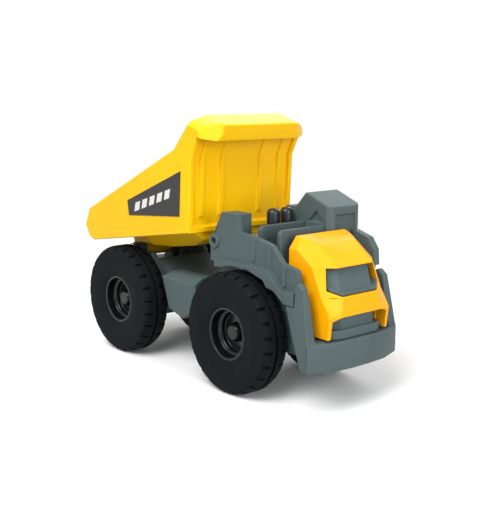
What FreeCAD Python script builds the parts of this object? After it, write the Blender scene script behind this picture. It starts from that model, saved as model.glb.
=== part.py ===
import FreeCAD, Part
import Sketcher
import os
import re

# Toy dump truck, about 130 mm long, with two free-rolling axles and a tipping bed.
# Millimetres. +X is the truck's front, +Y its left side, +Z up, and z = 0 is the ground.
# The bed is drawn flat about its hinge and then turned up by bed_rest_angle.

SIZES = {
    # Wheels and axles
    "wheel_radius": 21.0,
    "front_axle_x": 25.0,
    "rear_axle_x": -42.0,
    "tyre_inner_y": 14.2,
    "tyre_width": 11.0,
    "tyre_shoulder": 2.9,
    "sidewall_radius": 19.9,
    "sidewall_dish": 0.8,
    "rim_radius": 9.3,
    "rim_recess": 1.2,
    "rim_depth": 6.4,
    "rim_wall": 1.3,
    "rim_step_radius": 6.6,
    "rim_step_depth": 3.6,
    "hub_radius": 3.3,
    "hub_nose": 2.6,
    "lug_count": 26,
    "lug_gap": 1.1,
    "lug_depth": 1.3,
    "lug_length": 3.6,
    "tread_groove": 1.2,
    "axle_radius": 1.5,
    "axle_end_cover": 1.6,
    "bearing_gap": 0.08,
    "seat_gap": 0.03,
    "panel_gap": 0.2,
    # Lower frame
    "frame_half_width": 12.4,
    "frame_rear_x": -56.0,
    "frame_front_x": 56.0,
    "frame_belly_z": 14.7,
    "frame_waist_z": 20.5,
    "frame_waist_rear_x": -23.0,
    "frame_waist_front_x": 4.0,
    "frame_tail_z": 33.6,
    "frame_saddle_x": -31.0,
    "frame_saddle_z": 37.4,
    "frame_deck_z": 32.8,
    "frame_deck_rear_x": -20.0,
    "frame_nose_x": 44.0,
    "frame_nose_z": 30.0,
    "cheek_half_width": 13.6,
    "cheek_top_x": -33.5,
    "cheek_top_z": 39.6,
    "tank_half_width": 18.9,
    "tank_rear_x": -19.5,
    "tank_front_x": 1.2,
    "tank_top_z": 33.2,
    "tank_crown_z": 35.4,
    "tank_crown_y": 15.5,
    "tank_heel_x": -15.3,
    "tank_heel_z": 21.6,
    "tank_bottom_x": -6.5,
    "tank_bottom_z": 19.1,
    # Base plate and screws
    "plate_thick": 1.6,
    "plate_half_width": 10.5,
    "plate_margin": 11.0,
    "screw_radius": 1.1,
    "screw_head_radius": 2.1,
    "screw_head_height": 1.2,
    "screw_length": 6.0,
    "screw_slot": 0.5,
    "screw_spread_x": 8.0,
    "screw_spread_y": 6.0,
    # Bed hinge
    "hinge_x": -50.0,
    "hinge_z": 38.5,
    "hinge_radius": 3.3,
    "hinge_pin_radius": 1.5,
    "hinge_pin_half": 10.8,
    "hinge_head_radius": 2.4,
    "hinge_head_height": 1.0,
    "ear_inner_y": 6.4,
    "ear_outer_y": 9.6,
    "ear_side_gap": 0.3,
    "bed_rest_angle": 9.25,
    # Bed, in its own frame with the hinge at the origin
    "bed_half_width": 24.2,
    "bed_wall": 1.8,
    "bed_base_z": 5.3,
    "bed_toe_x": -8.1,
    "bed_heel_x": -11.2,
    "bed_heel_z": 6.8,
    "bed_lip_x": -13.3,
    "bed_lip_z": 11.8,
    "bed_rail_rear_x": -9.0,
    "bed_rail_rear_z": 18.1,
    "bed_rail_front_x": 52.8,
    "bed_rail_front_z": 34.9,
    "canopy_top_x": 62.0,
    "canopy_top_z": 42.2,
    "canopy_under_x": 67.8,
    "canopy_under_z": 39.3,
    "bed_kink_x": 61.4,
    "bed_kink_z": 30.3,
    "bed_front_x": 56.0,
    "bed_recess": 1.5,
    "bed_frame_width": 2.0,
    "canopy_rise": 3.6,
    "canopy_bow": 4.4,
    "canopy_corner_half": 22.8,
    "canopy_flat_half": 17.0,
    "canopy_bar": 2.4,
    "rib_inner_y": 9.0,
    "rib_outer_y": 18.0,
    "rib_width": 2.2,
    "rib_foot": 4.0,
    "keel_rear_x": 3.5,
    "keel_rear_z": 3.0,
    "keel_low_x": 33.0,
    "keel_low_z": 0.3,
    "keel_flat_x": 46.0,
    "keel_toe_x": 54.5,
    "keel_toe_z": 2.2,
    "keel_half_width": 20.5,
    "keel_flat_half": 14.0,
    "keel_neck_x": 19.5,
    "keel_neck_half": 13.2,
    "keel_wall": 1.8,
    "decal_thick": 0.25,
    "decal_rear_x": 20.1,
    "decal_rear_low_z": 13.8,
    "decal_rear_top_z": 19.4,
    "decal_front_low_x": 52.1,
    "decal_front_low_z": 11.5,
    "decal_front_top_x": 55.5,
    "decal_front_top_z": 27.1,
    # Upper deck with its fenders and side boxes
    "deck_rear_x": 9.5,
    "deck_half_width": 18.3,
    "deck_floor_z": 45.0,
    "deck_under_z": 43.4,
    "deck_core_half": 12.9,
    "deck_core_z": 30.2,
    "deck_side_wall": 2.0,
    "arch_gap": 1.6,
    "fender_half_width": 20.4,
    "lip_tail_x": 14.0,
    "lip_tail_z": 42.2,
    "lip_crown_x": 31.0,
    "lip_crown_z": 43.6,
    "lip_shoulder_x": 39.0,
    "lip_shoulder_z": 41.4,
    "lip_notch_x": 40.7,
    "lip_notch_z": 39.3,
    "lip_shelf_x": 44.3,
    "lip_shelf_z": 38.6,
    "lip_foot_x": 49.2,
    "lip_foot_z": 35.2,
    "lip_top_z": 45.2,
    "lip_step_z": 39.4,
    "lip_end_x": 53.4,
    "podium_rear_x": 40.0,
    "podium_top_z": 55.0,
    "podium_brow_x": 51.2,
    "podium_brow_z": 53.2,
    "podium_front_x": 54.0,
    "podium_front_z": 49.4,
    "box_rear_x": 15.5,
    "box_rear_z": 61.0,
    "box_front_x": 24.0,
    "box_step_z": 57.0,
    "box_front_z": 55.2,
    "side_top_x": 34.0,
    "side_top_z": 54.3,
    "side_bend_x": 41.2,
    "side_bend_z": 52.8,
    "side_low_x": 46.2,
    "side_low_z": 47.8,
    "side_end_x": 52.6,
    "side_end_z": 46.5,
    "eye_x": 11.9,
    "eye_z": 50.6,
    "eye_radius": 2.5,
    "eye_hole": 1.25,
    "panel_rib_depth": 0.7,
    "panel_rib_width": 1.3,
    "firewall_x": 39.6,
    "firewall_top_z": 57.2,
    "firewall_thick": 1.8,
    "firewall_half": 14.6,
    "bulkhead_x": 30.0,
    "bulkhead_top_z": 57.6,
    # Hood and what shows in its openings
    "hood_half_width": 14.0,
    "hood_rear_x": 44.6,
    "hood_rear_z": 55.8,
    "hood_crown_x": 53.0,
    "hood_crown_z": 53.6,
    "hood_brow_x": 60.6,
    "hood_brow_z": 47.4,
    "hood_belt_x": 63.6,
    "hood_belt_z": 38.3,
    "hood_mouth_x": 64.2,
    "hood_mouth_z": 32.0,
    "hood_foot_x": 63.6,
    "hood_foot_z": 25.0,
    "hood_side_low_z": 45.6,
    "hood_side_bend_x": 52.6,
    "hood_side_bend_z": 39.0,
    "hood_side_foot_x": 56.8,
    "hood_flat_half": 8.1,
    "hood_foot_flat_half": 9.2,
    "hood_foot_bevel": 1.0,
    "hood_belt_bevel": 4.2,
    "hood_brow_bevel": 5.4,
    "hood_crown_bevel": 6.6,
    "hood_top_bevel": 3.0,
    "hood_wall": 1.6,
    "window_top_half": 10.8,
    "window_low_half": 12.0,
    "window_sill_rise": 1.9,
    "mouth_half_width": 12.6,
    "mouth_corner_z": 31.0,
    "grille_flat_half": 7.3,
    "ledge_front_x": 63.1,
    "ledge_half": 11.2,
    "ledge_thick": 1.2,
    "radiator_bar_z": 27.6,
    # Bumper with its end cheeks
    "bumper_half_width": 20.9,
    "bumper_front_x": 64.6,
    "bumper_end_x": 61.0,
    "bumper_flat_half": 8.0,
    "bumper_thick": 3.2,
    "bumper_top_z": 24.3,
    "post_thick": 2.4,
    "post_top_x": 53.6,
    "post_top_z": 43.0,
    "post_top_width": 3.6,
    "post_shelf_x": 49.6,
    "post_foot_x": 57.6,
    "post_top_half": 19.7,
    # Operator cab
    "cab_inner_y": 5.5,
    "cab_outer_y": 21.0,
    "cab_rear_x": 25.4,
    "cab_front_x": 43.6,
    "cab_front_foot_x": 44.3,
    "cab_brow_z": 63.2,
    "cab_ridge_x": 32.0,
    "cab_ridge_z": 67.6,
    "cab_rear_z": 60.4,
    "cab_corner": 2.2,
    "cab_window_depth": 0.9,
    "cab_window_margin": 3.0,
    "cab_window_low_z": 51.5,
    "cab_window_top_z": 62.0,
    # Exhaust stacks
    "stack_radius": 2.3,
    "stack_x": 26.0,
    "stack_y": -0.8,
    "stack_pitch": 6.2,
    "stack_top_z": 62.2,
}

doc = FreeCAD.newDocument("toy_dump_truck")
sheet = doc.addObject("Spreadsheet::Sheet", "dim")
for row, (alias, number) in enumerate(SIZES.items(), start=1):
    sheet.set(f"A{row}", alias)
    sheet.set(f"B{row}", str(number))
    sheet.setAlias(f"B{row}", alias)
doc.recompute()

made = []


def bound(text):
    """Expression in which every size name points at the sheet."""
    return re.sub(r"\b([a-z]+(?:_[a-z]+)+)\b", r"dim.\1", str(text))


def value(text):
    """Number that an expression has now."""
    return float(sheet.evalExpression(bound(text)))


def new_body(label):
    """Empty body with its own name, kept in the list of pieces."""
    body = doc.addObject("PartDesign::Body", label)
    body.Label = label
    made.append(body)
    return body


def origin_item(body, role):
    """Plane or axis of a body's own origin."""
    return next(item for item in body.Origin.OriginFeatures if item.Role == role)


def sketch_on(body, role, offset="0"):
    """Sketch on one of the body's planes, moved along the plane's normal."""
    sketch = body.newObject("Sketcher::SketchObject", "outline")
    sketch.AttachmentSupport = [(origin_item(body, role), "")]
    sketch.MapMode = "FlatFace"
    sketch.setExpression("AttachmentOffset.Base.z", bound(offset))
    return sketch


def draw(sketch, points):
    """Closed outline of straight edges with every corner held by the sheet."""
    corners = [FreeCAD.Vector(value(across), value(up), 0) for across, up in points]
    count = len(corners)
    for index in range(count):
        sketch.addGeometry(Part.LineSegment(corners[index], corners[(index + 1) % count]), False)
    for index in range(count):
        sketch.addConstraint(Sketcher.Constraint("Coincident", index, 2, (index + 1) % count, 1))
    for index, (across, up) in enumerate(points):
        for kind, text, now in (("DistanceX", across, corners[index].x), ("DistanceY", up, corners[index].y)):
            held = sketch.addConstraint(Sketcher.Constraint(kind, -1, 1, index, 1, now))
            sketch.setExpression(f"Constraints[{held}]", bound(text))


def draw_circle(sketch, across, up, radius):
    """Circle held by its centre and radius."""
    centre = FreeCAD.Vector(value(across), value(up), 0)
    circle = sketch.addGeometry(Part.Circle(centre, FreeCAD.Vector(0, 0, 1), value(radius)), False)
    for kind, text, now in (("DistanceX", across, centre.x), ("DistanceY", up, centre.y)):
        held = sketch.addConstraint(Sketcher.Constraint(kind, -1, 1, circle, 3, now))
        sketch.setExpression(f"Constraints[{held}]", bound(text))
    held = sketch.addConstraint(Sketcher.Constraint("Radius", circle, value(radius)))
    sketch.setExpression(f"Constraints[{held}]", bound(radius))


# Each view gives the plane, and the sign of the plane's normal along the axis it faces.
VIEWS = {"side": ("XZ_Plane", -1), "plan": ("XY_Plane", 1), "front": ("YZ_Plane", 1)}


def extrude(body, kind, view, low, high, points=None, circle=None):
    """Pad or pocket of an outline between two places along the view's axis."""
    plane, facing = VIEWS[view]
    grows_up = (kind == "Pad") == (facing == 1)
    start = low if grows_up else high
    sketch = sketch_on(body, plane, f"{facing} * ({start})")
    if points:
        draw(sketch, points)
    if circle:
        draw_circle(sketch, *circle)
    feature = body.newObject(f"PartDesign::{kind}", kind.lower())
    feature.Profile = sketch
    feature.setExpression("Length", bound(f"({high}) - ({low})"))
    return feature


def pad(body, view, low, high, points=None, circle=None):
    """Material between two places along an axis."""
    return extrude(body, "Pad", view, low, high, points, circle)


def cut(body, view, low, high, points=None, circle=None):
    """Room cut between two places along an axis."""
    return extrude(body, "Pocket", view, low, high, points, circle)


def revolve(body, points):
    """Turned shape about the body's Y axis from an outline of (y, radius) points."""
    sketch = sketch_on(body, "YZ_Plane")
    draw(sketch, points)
    turned = body.newObject("PartDesign::Revolution", "turned")
    turned.Profile = sketch
    turned.ReferenceAxis = (sketch, ["H_Axis"])
    turned.Angle = 360
    return turned


def box(x_low, x_high, z_low, z_high):
    """Rectangle given by its limits."""
    return [(x_low, z_low), (x_high, z_low), (x_high, z_high), (x_low, z_high)]


def sides(inner, outer):
    """The right and the left stretch between two distances from the middle plane."""
    return ((f"-({outer})", f"-({inner})"), (inner, outer))


def mirrored(points):
    """Outline closed by its own mirror image across the middle."""
    return points + [(f"-({across})", up) for across, up in reversed(points)]


def mirrored_plan(points):
    """Plan outline closed by its own mirror image across the middle."""
    return points + [(across, f"-({up})") for across, up in reversed(points)]


def place(body, x, y, z, axis=None, angle="0"):
    """Put a body's origin at a place held by the sheet."""
    if axis:
        body.Placement = FreeCAD.Placement(FreeCAD.Vector(), FreeCAD.Rotation(axis, value(angle)))
        body.setExpression("Placement.Rotation.Angle", bound(angle))
    for letter, text in (("x", x), ("y", y), ("z", z)):
        body.setExpression(f"Placement.Base.{letter}", bound(text))


# Tyres: a turned ring with a dished sidewall, shoulder lugs and a middle groove
def make_tyre(label, axle_x, side):
    body = new_body(label)
    revolve(body, [
        ("0", "rim_radius"),
        ("tyre_width - rim_recess", "rim_radius"),
        ("tyre_width - sidewall_dish", "rim_radius + 1.2"),
        ("tyre_width", "(rim_radius + sidewall_radius) / 2"),
        ("tyre_width - 0.4", "sidewall_radius"),
        ("tyre_width - tyre_shoulder / 2", "wheel_radius - 0.3"),
        ("tyre_width - tyre_shoulder", "wheel_radius"),
        ("tyre_width / 2 + tread_groove / 2", "wheel_radius"),
        ("tyre_width / 2 + tread_groove / 2", "wheel_radius - lug_depth"),
        ("tyre_width / 2 - tread_groove / 2", "wheel_radius - lug_depth"),
        ("tyre_width / 2 - tread_groove / 2", "wheel_radius"),
        ("tyre_shoulder", "wheel_radius"),
        ("0.4", "sidewall_radius"),
    ])
    for low, high in (("-0.5", "lug_length"), ("tyre_width - lug_length", "tyre_width + 0.5")):
        notch = cut(body, "side", low, high,
                    box("-lug_gap / 2", "lug_gap / 2", "wheel_radius - lug_depth", "wheel_radius + 1"))
        ring = body.newObject("PartDesign::PolarPattern", "lugs")
        ring.Originals = [notch]
        ring.Axis = (origin_item(body, "Y_Axis"), [""])
        ring.Angle = 360
        ring.setExpression("Occurrences", bound("lug_count"))
        body.Tip = ring
    put_wheel_piece(body, axle_x, side)


def put_wheel_piece(body, axle_x, side):
    """Seat a wheel piece on its axle, its outer face away from the truck."""
    turn = "0" if side > 0 else "180"
    place(body, axle_x, f"{side} * tyre_inner_y", "wheel_radius", FreeCAD.Vector(0, 0, 1), turn)


# Rims: a deep stepped dish with a hub boss that is bored for the axle from behind
def make_rim(label, axle_x, side):
    body = new_body(label)
    outer_y = "tyre_width - rim_recess"
    floor_y = "tyre_width - rim_recess - rim_depth"
    revolve(body, [
        ("0", "axle_radius + seat_gap"),
        (f"{floor_y} + hub_nose + rim_wall - axle_end_cover", "axle_radius + seat_gap"),
        (f"{floor_y} + hub_nose + rim_wall - axle_end_cover", "0"),
        (f"{floor_y} + hub_nose + rim_wall", "0"),
        (f"{floor_y} + hub_nose + rim_wall", "hub_radius - 0.8"),
        (f"{floor_y} + hub_nose", "hub_radius"),
        (f"{floor_y} + rim_wall", "hub_radius"),
        (f"{floor_y} + rim_wall", "rim_step_radius"),
        (f"{outer_y} - rim_step_depth", "rim_step_radius + 0.4"),
        (f"{outer_y} - rim_step_depth + 0.5", "rim_radius - rim_wall"),
        (outer_y, "rim_radius - rim_wall + 0.3"),
        (outer_y, "rim_radius - seat_gap"),
        ("0.6", "rim_radius - seat_gap"),
        ("0.6", "rim_radius - rim_wall"),
        (f"{floor_y}", "rim_step_radius - 0.6"),
        (f"{floor_y}", "hub_radius"),
        ("0", "hub_radius"),
    ])
    put_wheel_piece(body, axle_x, side)


for wheel_row, axle_x in (("front", "front_axle_x"), ("rear", "rear_axle_x")):
    for wheel_side, sign in (("right", -1), ("left", 1)):
        make_tyre(f"tyre_{wheel_row}_{wheel_side}", axle_x, sign)
        make_rim(f"rim_{wheel_row}_{wheel_side}", axle_x, sign)
    axle_end = ("tyre_inner_y + tyre_width - rim_recess - rim_depth"
                " + hub_nose + rim_wall - axle_end_cover - panel_gap")
    axle = new_body(f"{wheel_row}_axle")
    pad(axle, "side", f"-({axle_end})", axle_end, circle=("0", "0", "axle_radius"))
    place(axle, axle_x, "0", "wheel_radius")

# Chassis: one moulded frame with axle bearings, side tanks, rear cheeks and hinge ears
chassis = new_body("chassis")
pad(chassis, "side", "-frame_half_width", "frame_half_width", [
    ("frame_rear_x", "frame_belly_z + 4"),
    ("frame_rear_x + 5", "frame_belly_z + plate_thick"),
    ("frame_waist_rear_x - 6", "frame_belly_z + plate_thick"),
    ("frame_waist_rear_x", "frame_waist_z"),
    ("frame_waist_front_x", "frame_waist_z"),
    ("frame_waist_front_x + 6", "frame_belly_z + plate_thick"),
    ("frame_front_x", "frame_belly_z + plate_thick"),
    ("frame_front_x", "bumper_top_z - 1"),
    ("frame_nose_x", "frame_nose_z"),
    ("deck_rear_x", "frame_nose_z"),
    ("deck_rear_x - 4", "frame_deck_z"),
    ("frame_deck_rear_x", "frame_deck_z"),
    ("frame_saddle_x", "frame_saddle_z"),
    ("hinge_x + 5", "frame_tail_z"),
    ("frame_rear_x", "frame_tail_z"),
])
for low, high in sides("frame_half_width - 1", "cheek_half_width"):
    pad(chassis, "side", low, high, [
        ("cheek_top_x - 4", "frame_belly_z + 4"),
        ("cheek_top_x + 7", "frame_waist_z"),
        ("cheek_top_x + 8.6", "frame_deck_z - 4"),
        ("cheek_top_x + 3", "cheek_top_z - 5"),
        ("cheek_top_x", "cheek_top_z"),
        ("cheek_top_x - 6", "cheek_top_z"),
        ("cheek_top_x - 12", "frame_tail_z - 2"),
    ])
for low, high in sides("ear_inner_y", "ear_outer_y"):
    pad(chassis, "side", low, high, [
        ("hinge_x - hinge_radius", "frame_tail_z - 1"),
        ("hinge_x + hinge_radius", "frame_tail_z - 1"),
        ("hinge_x + hinge_radius", "hinge_z"),
        ("hinge_x - hinge_radius", "hinge_z"),
    ])
    pad(chassis, "side", low, high, circle=("hinge_x", "hinge_z", "hinge_radius"))
for low, high in sides("frame_half_width - 1", "tank_half_width"):
    pad(chassis, "side", low, high, [
        ("tank_rear_x", "tank_top_z"),
        ("tank_heel_x", "tank_heel_z"),
        ("tank_bottom_x", "tank_bottom_z"),
        ("tank_front_x", "tank_heel_z + 2"),
        ("tank_front_x", "tank_top_z"),
        ("tank_front_x", "tank_crown_z"),
        ("tank_rear_x + 3", "tank_crown_z"),
    ])
for sign in (-1, 1):
    cut(chassis, "front", "tank_rear_x - 1", "tank_front_x + 1", [
        (f"{sign} * tank_crown_y", "tank_crown_z + 0.01"),
        (f"{sign} * (tank_half_width + 1)", "tank_crown_z + 0.01"),
        (f"{sign} * (tank_half_width + 1)", "tank_top_z - 0.6"),
    ])
for axle_x in ("front_axle_x", "rear_axle_x"):
    cut(chassis, "side", "-cheek_half_width - 1", "cheek_half_width + 1",
        circle=(axle_x, "wheel_radius", "axle_radius + bearing_gap"))
cut(chassis, "side", "-ear_outer_y - 1", "ear_outer_y + 1",
    circle=("hinge_x", "hinge_z", "hinge_pin_radius + seat_gap"))
for axle_x in ("front_axle_x", "rear_axle_x"):
    for sign in (-1, 1):
        cut(chassis, "plan", "frame_belly_z", "frame_belly_z + plate_thick + screw_length",
            circle=(f"{axle_x} + {sign} * screw_spread_x", f"{sign} * screw_spread_y",
                    "screw_radius + seat_gap"))

# Base plates: thin covers under each axle, held from below
for wheel_row, axle_x in (("front", "front_axle_x"), ("rear", "rear_axle_x")):
    plate = new_body(f"{wheel_row}_base_plate")
    pad(plate, "plan", "frame_belly_z", "frame_belly_z + plate_thick - seat_gap",
        box(f"{axle_x} - plate_margin", f"{axle_x} + plate_margin", "-plate_half_width", "plate_half_width"))
    for sign in (-1, 1):
        spot = (f"{axle_x} + {sign} * screw_spread_x", f"{sign} * screw_spread_y")
        cut(plate, "plan", "frame_belly_z - 1", "frame_belly_z + plate_thick + 1",
            circle=(*spot, "screw_radius + seat_gap"))
        cut(plate, "plan", "frame_belly_z - 1", "frame_belly_z + screw_head_height",
            circle=(*spot, "screw_head_radius + seat_gap"))

# Screws: pan heads with a crossed slot, one solid each in one group
screws = []
for axle_x in ("front_axle_x", "rear_axle_x"):
    for sign in (-1, 1):
        screw = doc.addObject("PartDesign::Body", "screw")
        pad(screw, "plan", "0", "screw_head_height - seat_gap", circle=("0", "0", "screw_head_radius"))
        pad(screw, "plan", "screw_head_height - 2 * seat_gap", "screw_length", circle=("0", "0", "screw_radius"))
        reach = "screw_head_radius * 0.7"
        cut(screw, "plan", "-0.2", "screw_slot", box(f"-{reach}", reach, "-0.25", "0.25"))
        cut(screw, "plan", "-0.2", "screw_slot", box("-0.25", "0.25", f"-{reach}", reach))
        place(screw, f"{axle_x} + {sign} * screw_spread_x", f"{sign} * screw_spread_y", "frame_belly_z")
        screws.append(screw)
screw_group = doc.addObject("Part::Compound", "base_screws")
screw_group.Label = "base_screws"
screw_group.Links = screws
made.append(screw_group)

# Bed hinge pin with a head at its right end
hinge_pin = new_body("bed_hinge_pin")
pad(hinge_pin, "side", "-hinge_pin_half", "hinge_pin_half", circle=("0", "0", "hinge_pin_radius"))
pad(hinge_pin, "side", "-hinge_pin_half - hinge_head_height", "-hinge_pin_half + 0.5",
    circle=("0", "0", "hinge_head_radius"))
place(hinge_pin, "hinge_x", "0", "hinge_z")

# Dump bed: an open shell with a raised canopy, a ribbed front and a keel-shaped underside
bed = new_body("dump_bed")
bed_core = pad(bed, "side", "-bed_half_width", "bed_half_width", [
    ("bed_rail_rear_x", "bed_rail_rear_z"),
    ("bed_lip_x", "bed_lip_z"),
    ("bed_heel_x", "bed_heel_z"),
    ("bed_toe_x", "bed_base_z"),
    ("bed_front_x - bed_recess", "bed_base_z"),
    ("bed_kink_x - bed_recess", "bed_kink_z + bed_recess / 4"),
    ("canopy_under_x - 0.8 * bed_recess", "canopy_under_z + 0.55 * bed_recess"),
    ("canopy_top_x", "canopy_top_z"),
    ("bed_rail_front_x", "bed_rail_front_z"),
])


def open_faces(feature):
    """Faces of the bed's blank that stay open: the load opening, the canopy's top and the tail."""
    found = []
    for index, face in enumerate(feature.Shape.Faces, start=1):
        normal = face.normalAt(0, 0)
        centre = face.CenterOfMass
        faces_up = normal.z > 0.3 and centre.x < value("canopy_top_x")
        faces_tail = normal.x < -0.5 and centre.z > value("bed_lip_z")
        if faces_up or faces_tail:
            found.append(f"Face{index}")
    return found


doc.recompute()
shell = bed.newObject("PartDesign::Thickness", "shell")
shell.Base = (bed_core, open_faces(bed_core))
shell.setExpression("Value", bound("bed_wall"))
shell.Reversed = True
shell.Join = "Intersection"
for low, high in sides("bed_half_width - bed_frame_width", "bed_half_width"):
    pad(bed, "side", low, high, [
        ("bed_front_x - 3 * bed_recess", "bed_base_z"),
        ("bed_front_x", "bed_base_z"),
        ("bed_kink_x", "bed_kink_z"),
        ("canopy_under_x", "canopy_under_z"),
        ("canopy_top_x", "canopy_top_z"),
        ("canopy_top_x - 1", "canopy_top_z - 3"),
        ("bed_kink_x - 3 * bed_recess", "bed_kink_z"),
    ])
for rib_y in ("rib_inner_y", "rib_outer_y"):
    for low, high in sides(f"{rib_y} - rib_width / 2", f"{rib_y} + rib_width / 2"):
        pad(bed, "side", low, high, [
            ("bed_front_x + 0.3 - 2 * bed_recess", "bed_base_z + rib_foot"),
            ("bed_front_x + 0.4", "bed_base_z + rib_foot + 1.5"),
            ("bed_kink_x - 0.4", "bed_kink_z"),
            ("canopy_under_x - 0.8", "canopy_under_z"),
            ("canopy_under_x - 1.8 * bed_recess", "canopy_under_z"),
            ("bed_kink_x - 1.8 * bed_recess", "bed_kink_z"),
        ])
# Sill along the foot of the front wall
pad(bed, "side", "-bed_half_width", "bed_half_width", [
    ("bed_front_x - 1.7 * bed_recess", "bed_base_z"),
    ("bed_front_x", "bed_base_z"),
    ("bed_front_x + 0.2", "bed_base_z + 1.6"),
    ("bed_front_x - 1.6 * bed_recess", "bed_base_z + 3"),
])

# Keel: a hollow hull under the floor with sloped flanks
keel = [
    ("keel_rear_x", "bed_base_z + 0.2"),
    ("keel_rear_x + 1", "keel_rear_z"),
    ("keel_low_x", "keel_low_z"),
    ("keel_flat_x", "keel_low_z"),
    ("keel_toe_x", "keel_toe_z"),
    ("keel_toe_x + 0.4", "bed_base_z + 0.2"),
]
pad(bed, "side", "-keel_half_width", "keel_half_width", keel)
for sign in (-1, 1):
    cut(bed, "front", "keel_rear_x - 1", "keel_toe_x + 2", [
        (f"{sign} * keel_half_width", "bed_base_z"),
        (f"{sign} * (keel_half_width + 1)", "bed_base_z"),
        (f"{sign} * (keel_half_width + 1)", "keel_low_z - 2"),
        (f"{sign} * (keel_flat_half - 2.2)", "keel_low_z - 2"),
    ])
    # Neck between the rear tyres
    cut(bed, "plan", "keel_low_z - 2", "bed_base_z", [
        ("keel_rear_x - 1", f"{sign} * keel_neck_half"),
        ("keel_neck_x", f"{sign} * keel_neck_half"),
        ("keel_neck_x + 5", f"{sign} * (keel_half_width + 1)"),
        ("keel_rear_x - 1", f"{sign} * (keel_half_width + 1)"),
    ])
for low, high in sides("1", "keel_flat_half - keel_wall"):
    cut(bed, "side", low, high, [
        ("keel_rear_x + 3", "bed_base_z + bed_wall + 1"),
        ("keel_rear_x + 3", "keel_rear_z + keel_wall"),
        ("keel_low_x", "keel_low_z + keel_wall"),
        ("keel_flat_x", "keel_low_z + keel_wall"),
        ("keel_toe_x - 2", "keel_toe_z + keel_wall"),
        ("keel_toe_x - 2", "bed_base_z + bed_wall + 1"),
    ])

# Hinge lug under the tail, between the frame's ears
lug_half = "ear_inner_y - ear_side_gap"
pad(bed, "side", f"-({lug_half})", lug_half, [
    ("-hinge_radius", "0"),
    ("hinge_radius", "0"),
    ("hinge_radius + 3", "keel_rear_z + 0.2"),
    ("hinge_radius + 3", "bed_base_z + 0.4"),
    ("-hinge_radius", "bed_base_z + 0.4"),
])
pad(bed, "side", f"-({lug_half})", lug_half, circle=("0", "0", "hinge_radius"))
cut(bed, "side", f"-({lug_half}) - 1", f"{lug_half} + 1",
    circle=("0", "0", "hinge_pin_radius + bearing_gap"))

# Canopy bar: the thick lip, drawn square to the lip's face, raised and bowed forward in the middle
lip_angle = "atan((canopy_top_z - canopy_under_z) / (canopy_under_x - canopy_top_x))"
lip_length = "hypot(canopy_under_x - canopy_top_x; canopy_top_z - canopy_under_z)"
bar_sketch = bed.newObject("Sketcher::SketchObject", "lip")
bar_sketch.AttachmentSupport = [(origin_item(bed, "XY_Plane"), "")]
bar_sketch.MapMode = "FlatFace"
bar_sketch.AttachmentOffset = FreeCAD.Placement(
    FreeCAD.Vector(value("canopy_top_x"), 0, value("canopy_top_z")),
    FreeCAD.Rotation(FreeCAD.Vector(0, 1, 0), value(f"90 deg + {lip_angle}")),
)
bar_sketch.setExpression("AttachmentOffset.Base.x", bound("canopy_top_x"))
bar_sketch.setExpression("AttachmentOffset.Base.z", bound("canopy_top_z"))
bar_sketch.setExpression("AttachmentOffset.Rotation.Angle", bound(f"90 deg + {lip_angle}"))
draw(bar_sketch, [
    ("canopy_bar", "-bed_half_width"),
    ("canopy_bar", "bed_half_width"),
    ("0", "bed_half_width"),
    ("-canopy_rise * 0.4", "canopy_corner_half"),
    ("-canopy_rise", "canopy_flat_half"),
    ("-canopy_rise", "-canopy_flat_half"),
    ("-canopy_rise * 0.4", "-canopy_corner_half"),
    ("0", "-bed_half_width"),
])
bar = bed.newObject("PartDesign::Pad", "canopy_bar")
bar.Profile = bar_sketch
bar.setExpression("Length", bound(f"{lip_length} + canopy_bow"))
for sign in (-1, 1):
    cut(bed, "plan", "bed_kink_z", "canopy_top_z + canopy_rise + 2", [
        ("canopy_under_x", f"{sign} * (bed_half_width + 0.01)"),
        ("canopy_under_x + canopy_bow * 0.9", f"{sign} * canopy_flat_half"),
        ("canopy_under_x + canopy_bow * 3", f"{sign} * canopy_flat_half"),
        ("canopy_under_x + canopy_bow * 3", f"{sign} * (bed_half_width + 1)"),
        ("canopy_under_x", f"{sign} * (bed_half_width + 1)"),
    ])
place(bed, "hinge_x", "0", "hinge_z", FreeCAD.Vector(0, -1, 0), "bed_rest_angle")

# Side decals: thin labels on the bed's flanks
for label, (low, high) in zip(("decal_right", "decal_left"),
                              sides("bed_half_width + seat_gap", "bed_half_width + seat_gap + decal_thick")):
    decal = new_body(label)
    pad(decal, "side", low, high, [
        ("decal_rear_x", "decal_rear_low_z"),
        ("decal_front_low_x", "decal_front_low_z"),
        ("decal_front_top_x", "decal_front_top_z"),
        ("decal_rear_x", "decal_rear_top_z"),
    ])
    place(decal, "hinge_x", "0", "hinge_z", FreeCAD.Vector(0, -1, 0), "bed_rest_angle")

# Deck: the upper moulding with its core, floor, fenders, side walls and air boxes
deck = new_body("deck")
pad(deck, "side", "-deck_core_half", "deck_core_half", [
    ("deck_rear_x", "deck_core_z"),
    ("frame_nose_x", "deck_core_z"),
    ("frame_nose_x + 4", "frame_nose_z - 2.2"),
    ("hood_side_foot_x - 2", "bumper_top_z"),
    ("hood_side_foot_x - 1", "bumper_top_z + 3"),
    ("hood_side_bend_x - 3", "hood_side_bend_z"),
    ("hood_side_bend_x - 5", "deck_floor_z"),
    ("deck_rear_x", "deck_floor_z"),
])
pad(deck, "plan", "deck_under_z", "deck_floor_z",
    box("deck_rear_x", "side_end_x - 4", "-deck_half_width", "deck_half_width"))
side_top = [
    ("side_end_x", "side_end_z"),
    ("side_low_x", "side_low_z"),
    ("side_bend_x", "side_bend_z"),
    ("side_top_x", "side_top_z"),
    ("box_front_x + 1", "box_front_z"),
    ("box_front_x", "box_rear_z"),
    ("box_rear_x", "box_rear_z"),
    ("box_rear_x - 2.2", "box_step_z"),
    ("deck_rear_x + 2", "box_step_z - 3"),
]
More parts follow.
